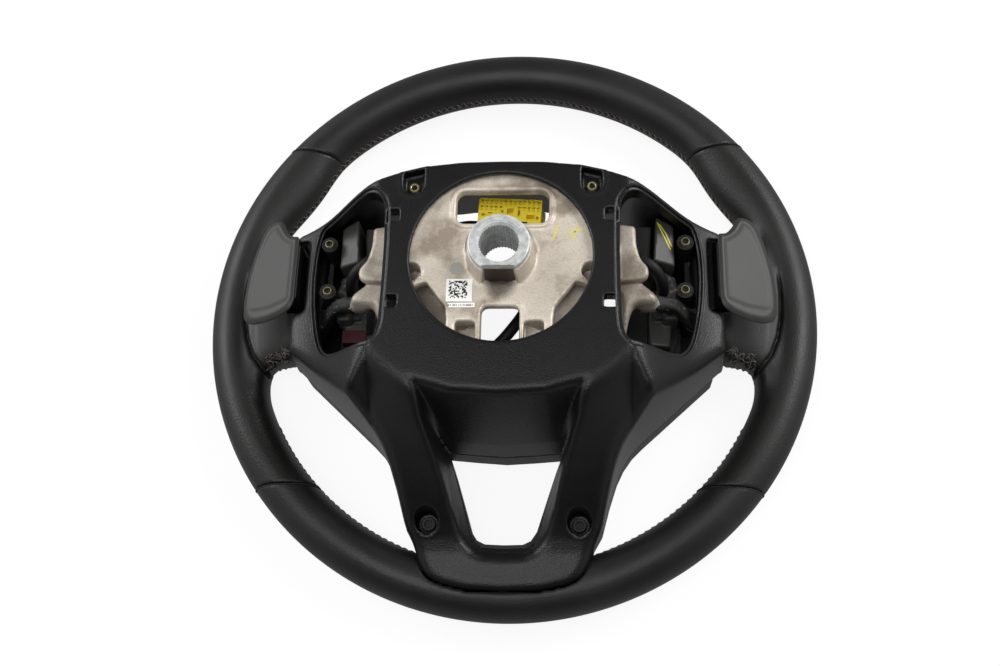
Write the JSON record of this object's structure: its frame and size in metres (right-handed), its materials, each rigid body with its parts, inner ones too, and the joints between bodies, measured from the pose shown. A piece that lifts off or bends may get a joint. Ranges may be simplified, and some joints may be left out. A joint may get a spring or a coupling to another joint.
{
  "type": "steering wheel",
  "caption": "Leather car steering wheel without its airbag, seen from the column side, with an open lower spoke, a moulded rear cover, shift paddles and a splined hub.",
  "frame": {"origin": "on the wheel's axis, in the plane that the front of the rim rests on", "axes": "+Z towards the steering column, so the back of the wheel is up; +Y towards twelve o'clock; +X to the right of the wheel seen from behind, which is the driver's left"},
  "size_m": [0.3748, 0.375, 0.124],
  "materials": {
    "cast_alloy": "raw cast",
    "bush_steel": "machined",
    "zinc_screw": "yellow zinc",
    "grey_screw": "dulled",
    "pin_steel": "ground",
    "cover_black": "fine grain, worn",
    "trim_black": "fine grain",
    "housing_grey": "plain",
    "paddle_grey": "satin lacquer",
    "yellow_plastic": "plain",
    "plug_red": "plain",
    "leather_smooth": "smooth, worn",
    "leather_perforated": "fine grain",
    "foam_grey": "moulded",
    "loom_tape": "cloth tape",
    "label_white": "paper label"
  },
  "bodies": {
    "wheel": {"armature": "cast_alloy", "hub_bush": "bush_steel", "rim_foam": "foam_grey", "leather_top": "leather_smooth", "leather_left": "leather_perforated", "leather_right": "leather_perforated", "leather_bottom": "leather_smooth", "rear_cover": "cover_black", "front_trim": "trim_black", "switch_housing_left": "housing_grey", "switch_housing_right": "housing_grey", "paddle_carrier_left": "trim_black", "paddle_carrier_right": "trim_black", "paddle_pin_left": "pin_steel", "paddle_pin_right": "pin_steel", "cover_screws_upper": "zinc_screw", "cover_screws_lower": "grey_screw", "carrier_screws_left": "grey_screw", "carrier_screws_right": "grey_screw", "wiring_connector": "yellow_plastic", "connector_clip": "trim_black", "loom_left": "loom_tape", "loom_right": "loom_tape", "horn_lead": "loom_tape", "horn_plug": "plug_red", "data_label": "label_white"},
    "button_left_top": {"button_left_top": "trim_black"},
    "button_left_middle": {"button_left_middle": "trim_black"},
    "button_left_bottom": {"button_left_bottom": "trim_black"},
    "button_right_top": {"button_right_top": "trim_black"},
    "button_right_middle": {"button_right_middle": "trim_black"},
    "button_right_bottom": {"button_right_bottom": "trim_black"},
    "paddle_left": {"paddle_left": "paddle_grey"},
    "paddle_right": {"paddle_right": "paddle_grey"}
  },
  "joints": [
    {"name": "press_left_top", "type": "slide", "parent": "wheel", "child": "button_left_top", "axis": [0, 0, 1], "range_m": [0, 0.001], "stiffness_N_per_m": 3000, "springref_m": -0.0005},
    {"name": "press_left_middle", "type": "slide", "parent": "wheel", "child": "button_left_middle", "axis": [0, 0, 1], "range_m": [0, 0.001], "stiffness_N_per_m": 3000, "springref_m": -0.0005},
    {"name": "press_left_bottom", "type": "slide", "parent": "wheel", "child": "button_left_bottom", "axis": [0, 0, 1], "range_m": [0, 0.001], "stiffness_N_per_m": 3000, "springref_m": -0.0005},
    {"name": "pull_left", "type": "hinge", "parent": "wheel", "child": "paddle_left", "pos_m": [-0.113, 0.0075, 0.048], "axis": [0, -1, 0], "range_deg": [0, 6], "stiffness_Nm_per_rad": 1.6, "springref_deg": -2.86},
    {"name": "press_right_top", "type": "slide", "parent": "wheel", "child": "button_right_top", "axis": [0, 0, 1], "range_m": [0, 0.001], "stiffness_N_per_m": 3000, "springref_m": -0.0005},
    {"name": "press_right_middle", "type": "slide", "parent": "wheel", "child": "button_right_middle", "axis": [0, 0, 1], "range_m": [0, 0.001], "stiffness_N_per_m": 3000, "springref_m": -0.0005},
    {"name": "press_right_bottom", "type": "slide", "parent": "wheel", "child": "button_right_bottom", "axis": [0, 0, 1], "range_m": [0, 0.001], "stiffness_N_per_m": 3000, "springref_m": -0.0005},
    {"name": "pull_right", "type": "hinge", "parent": "wheel", "child": "paddle_right", "pos_m": [0.113, 0.0075, 0.048], "axis": [0, 1, 0], "range_deg": [0, 6], "stiffness_Nm_per_rad": 1.6, "springref_deg": -2.86}
  ]
}
